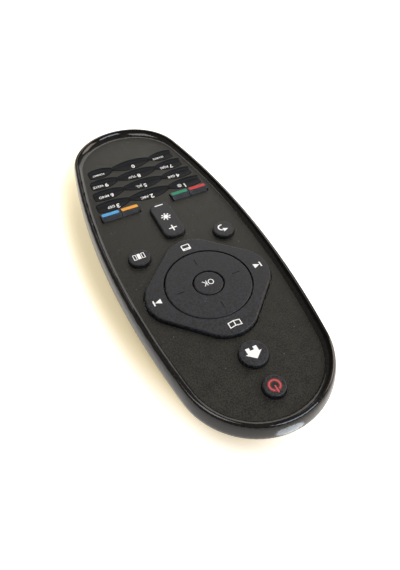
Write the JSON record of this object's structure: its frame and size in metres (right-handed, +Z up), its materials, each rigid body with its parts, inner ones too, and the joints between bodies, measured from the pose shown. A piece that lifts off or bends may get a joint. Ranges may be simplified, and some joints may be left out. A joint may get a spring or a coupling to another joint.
{
  "type": "tv remote control",
  "caption": "Long oval handset with a glossy raised rim, recessed matt face, rocking navigation pad, raised keys and a sliding battery cover underneath.",
  "frame": {"origin": "middle of the case outline, on the plane that the case rests on", "axes": "+Y towards the infrared window and power key, +X to the right when the keys are read, +Z up out of the key face"},
  "size_m": [0.072, 0.1911, 0.025],
  "materials": {
    "rim_gloss": "gloss",
    "face_matt": "matte",
    "shell_satin": "satin",
    "cover_satin": "satin",
    "window_smoke": "gloss",
    "key_rubber": "matte",
    "support_plastic": "satin",
    "mat_silicone": "matte",
    "board_green": "satin",
    "dome_steel": "satin",
    "screw_steel": "satin",
    "contact_nickel": "satin",
    "cell_jacket": "satin",
    "chip_resin": "matte",
    "can_steel": "satin",
    "capacitor_sleeve": "satin",
    "led_lens": "gloss"
  },
  "bodies": {
    "case": {"top_frame": "rim_gloss", "face_plate": "face_matt", "back_shell": "shell_satin", "ir_window": "window_smoke", "battery_cell_left": "cell_jacket", "battery_cell_right": "cell_jacket", "contact_springs": "contact_nickel", "contact_plates": "contact_nickel", "circuit_board": "board_green", "keypad_mat": "mat_silicone", "dome_contacts": "dome_steel", "board_screws": "screw_steel", "controller_chip": "chip_resin", "resonator": "can_steel", "capacitor": "capacitor_sleeve", "ir_led_left": "led_lens", "ir_led_right": "led_lens"},
    "power_key": {"power_key": "key_rubber"},
    "home_key": {"home_key": "key_rubber"},
    "back_key": {"back_key": "key_rubber"},
    "options_key": {"options_key": "key_rubber"},
    "red_key": {"red_key": "key_rubber"},
    "green_key": {"green_key": "key_rubber"},
    "yellow_key": {"yellow_key": "key_rubber"},
    "blue_key": {"blue_key": "key_rubber"},
    "digit_1_key": {"digit_1_key": "key_rubber"},
    "digit_2_key": {"digit_2_key": "key_rubber"},
    "digit_3_key": {"digit_3_key": "key_rubber"},
    "digit_4_key": {"digit_4_key": "key_rubber"},
    "digit_5_key": {"digit_5_key": "key_rubber"},
    "digit_6_key": {"digit_6_key": "key_rubber"},
    "digit_7_key": {"digit_7_key": "key_rubber"},
    "digit_8_key": {"digit_8_key": "key_rubber"},
    "digit_9_key": {"digit_9_key": "key_rubber"},
    "source_key": {"source_key": "key_rubber"},
    "digit_0_key": {"digit_0_key": "key_rubber"},
    "format_key": {"format_key": "key_rubber"},
    "ok_key": {"ok_key": "key_rubber"},
    "cursor_ring": {"cursor_ring": "key_rubber"},
    "ring_support": {"ring_support": "support_plastic"},
    "nav_pad": {"nav_pad": "key_rubber"},
    "pad_support": {"pad_support": "support_plastic"},
    "rocker_key": {"rocker_key": "key_rubber"},
    "battery_cover": {"battery_cover": "cover_satin"}
  },
  "joints": [
    {"name": "power_key_press", "type": "slide", "parent": "case", "child": "power_key", "axis": [0, 0, -1], "range_m": [0, 0.0008], "stiffness_N_per_m": 800},
    {"name": "home_key_press", "type": "slide", "parent": "case", "child": "home_key", "axis": [0, 0, -1], "range_m": [0, 0.0008], "stiffness_N_per_m": 800},
    {"name": "back_key_press", "type": "slide", "parent": "case", "child": "back_key", "axis": [0, 0, -1], "range_m": [0, 0.0008], "stiffness_N_per_m": 800},
    {"name": "options_key_press", "type": "slide", "parent": "case", "child": "options_key", "axis": [0, 0, -1], "range_m": [0, 0.0008], "stiffness_N_per_m": 800},
    {"name": "red_key_press", "type": "slide", "parent": "case", "child": "red_key", "axis": [0, 0, -1], "range_m": [0, 0.0008], "stiffness_N_per_m": 800},
    {"name": "green_key_press", "type": "slide", "parent": "case", "child": "green_key", "axis": [0, 0, -1], "range_m": [0, 0.0008], "stiffness_N_per_m": 800},
    {"name": "yellow_key_press", "type": "slide", "parent": "case", "child": "yellow_key", "axis": [0, 0, -1], "range_m": [0, 0.0008], "stiffness_N_per_m": 800},
    {"name": "blue_key_press", "type": "slide", "parent": "case", "child": "blue_key", "axis": [0, 0, -1], "range_m": [0, 0.0008], "stiffness_N_per_m": 800},
    {"name": "digit_1_key_press", "type": "slide", "parent": "case", "child": "digit_1_key", "axis": [0, 0, -1], "range_m": [0, 0.0008], "stiffness_N_per_m": 800},
    {"name": "digit_2_key_press", "type": "slide", "parent": "case", "child": "digit_2_key", "axis": [0, 0, -1], "range_m": [0, 0.0008], "stiffness_N_per_m": 800},
    {"name": "digit_3_key_press", "type": "slide", "parent": "case", "child": "digit_3_key", "axis": [0, 0, -1], "range_m": [0, 0.0008], "stiffness_N_per_m": 800},
    {"name": "digit_4_key_press", "type": "slide", "parent": "case", "child": "digit_4_key", "axis": [0, 0, -1], "range_m": [0, 0.0008], "stiffness_N_per_m": 800},
    {"name": "digit_5_key_press", "type": "slide", "parent": "case", "child": "digit_5_key", "axis": [0, 0, -1], "range_m": [0, 0.0008], "stiffness_N_per_m": 800},
    {"name": "digit_6_key_press", "type": "slide", "parent": "case", "child": "digit_6_key", "axis": [0, 0, -1], "range_m": [0, 0.0008], "stiffness_N_per_m": 800},
    {"name": "digit_7_key_press", "type": "slide", "parent": "case", "child": "digit_7_key", "axis": [0, 0, -1], "range_m": [0, 0.0008], "stiffness_N_per_m": 800},
    {"name": "digit_8_key_press", "type": "slide", "parent": "case", "child": "digit_8_key", "axis": [0, 0, -1], "range_m": [0, 0.0008], "stiffness_N_per_m": 800},
    {"name": "digit_9_key_press", "type": "slide", "parent": "case", "child": "digit_9_key", "axis": [0, 0, -1], "range_m": [0, 0.0008], "stiffness_N_per_m": 800},
    {"name": "source_key_press", "type": "slide", "parent": "case", "child": "source_key", "axis": [0, 0, -1], "range_m": [0, 0.0008], "stiffness_N_per_m": 800},
    {"name": "digit_0_key_press", "type": "slide", "parent": "case", "child": "digit_0_key", "axis": [0, 0, -1], "range_m": [0, 0.0008], "stiffness_N_per_m": 800},
    {"name": "format_key_press", "type": "slide", "parent": "case", "child": "format_key", "axis": [0, 0, -1], "range_m": [0, 0.0008], "stiffness_N_per_m": 800},
    {"name": "ok_key_press", "type": "slide", "parent": "case", "child": "ok_key", "axis": [0, 0, -1], "range_m": [0, 0.0008], "stiffness_N_per_m": 800},
    {"name": "ring_front_back_tilt", "type": "hinge", "parent": "case", "child": "ring_support", "pos_m": [0, 0.0285, 0.01855], "axis": [1, 0, 0], "range_deg": [-2, 2], "stiffness_Nm_per_rad": 0.6},
    {"name": "ring_left_right_tilt", "type": "hinge", "parent": "ring_support", "child": "cursor_ring", "pos_m": [0, 0.0285, 0.0203], "axis": [0, 1, 0], "range_deg": [-2, 2], "stiffness_Nm_per_rad": 0.6},
    {"name": "pad_front_back_tilt", "type": "hinge", "parent": "case", "child": "pad_support", "pos_m": [0, 0.0285, 0.01855], "axis": [1, 0, 0], "range_deg": [-1.7, 1.7], "stiffness_Nm_per_rad": 1.2},
    {"name": "pad_left_right_tilt", "type": "hinge", "parent": "pad_support", "child": "nav_pad", "pos_m": [0, 0.0285, 0.0203], "axis": [0, 1, 0], "range_deg": [-1.7, 1.7], "stiffness_Nm_per_rad": 1.2},
    {"name": "rocker_tilt", "type": "hinge", "parent": "case", "child": "rocker_key", "pos_m": [0, -0.015, 0.019], "axis": [1, 0, 0], "range_deg": [-3.5, 3.5], "stiffness_Nm_per_rad": 0.3},
    {"name": "battery_cover_slide", "type": "slide", "parent": "case", "child": "battery_cover", "axis": [0, -1, 0], "range_m": [0, 0.012]}
  ]
}
